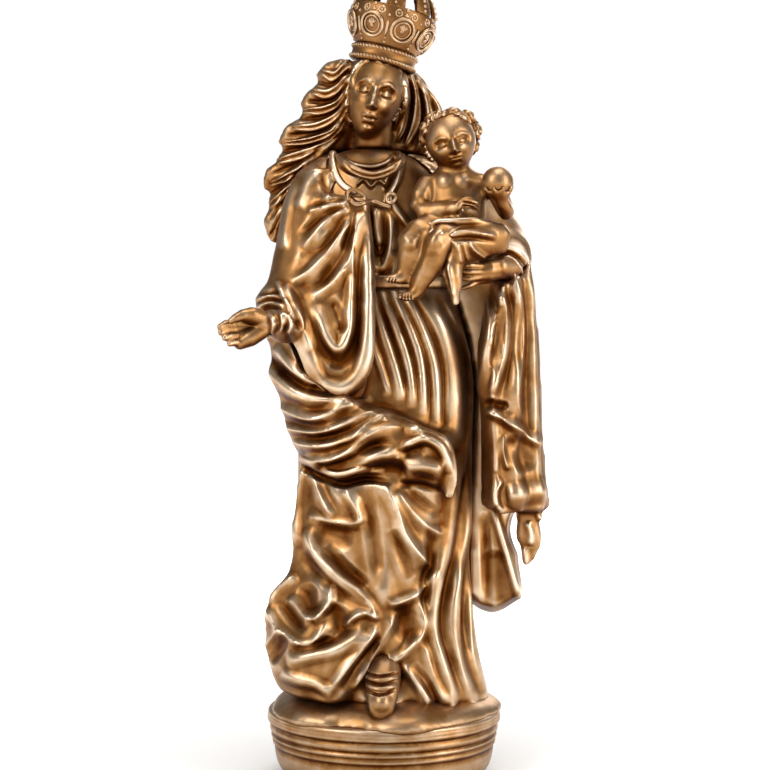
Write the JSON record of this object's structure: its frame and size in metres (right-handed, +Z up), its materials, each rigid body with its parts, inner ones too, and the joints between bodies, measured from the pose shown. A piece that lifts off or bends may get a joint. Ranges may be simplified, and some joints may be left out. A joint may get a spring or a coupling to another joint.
{
  "type": "madonna statue",
  "caption": "Standing crowned mother with a child on her left arm, in a long gown and draped mantle, on an oval moulded plinth; antique bronze, with a crown that lifts off.",
  "frame": {"origin": "centre of the felt's underside, on the axis of the oval plinth", "axes": "+Z up, -Y to the front of the figure, +X to the figure's left, which is the viewer's right"},
  "size_m": [0.1235, 0.077, 0.3072],
  "materials": {
    "bronze": "antique bronze, rubbed bright on the ridges, dark brown patina in the folds",
    "steel": "zinc-plated steel",
    "felt": "dark green wool felt"
  },
  "bodies": {
    "statue": {"felt_pad": "felt", "plinth": "bronze", "tie_washer": "steel", "tie_nut": "steel", "tie_rod": "steel", "ground_mound": "bronze", "shoe": "bronze", "gown_skirt": "bronze", "gown_bodice": "bronze", "waist_belt": "bronze", "head": "bronze", "collar": "bronze", "mantle_back": "bronze", "mantle_right_shoulder": "bronze", "mantle_left_shoulder": "bronze", "right_sleeve": "bronze", "right_hand": "bronze", "left_sleeve": "bronze", "left_hand": "bronze", "mantle_front_drape": "bronze", "mantle_hip_drape": "bronze", "mantle_cascade": "bronze", "mantle_left_fall": "bronze", "mantle_cord": "bronze", "hair": "bronze", "child_globe": "bronze", "child_torso": "bronze", "child_legs": "bronze", "child_cloth": "bronze", "child_right_arm": "bronze", "child_left_arm": "bronze", "child_head": "bronze", "child_curls": "bronze", "crown_dowel": "steel"},
    "crown": {"crown_band": "bronze", "crown_bowl": "bronze", "crown_arches": "bronze", "crown_orb": "bronze", "crown_cross": "bronze"}
  },
  "joints": [
    {"name": "crown_lift", "type": "slide", "parent": "statue", "child": "crown", "axis": [0.2419, 0, 0.9703], "range_m": [0, 0.03]}
  ]
}
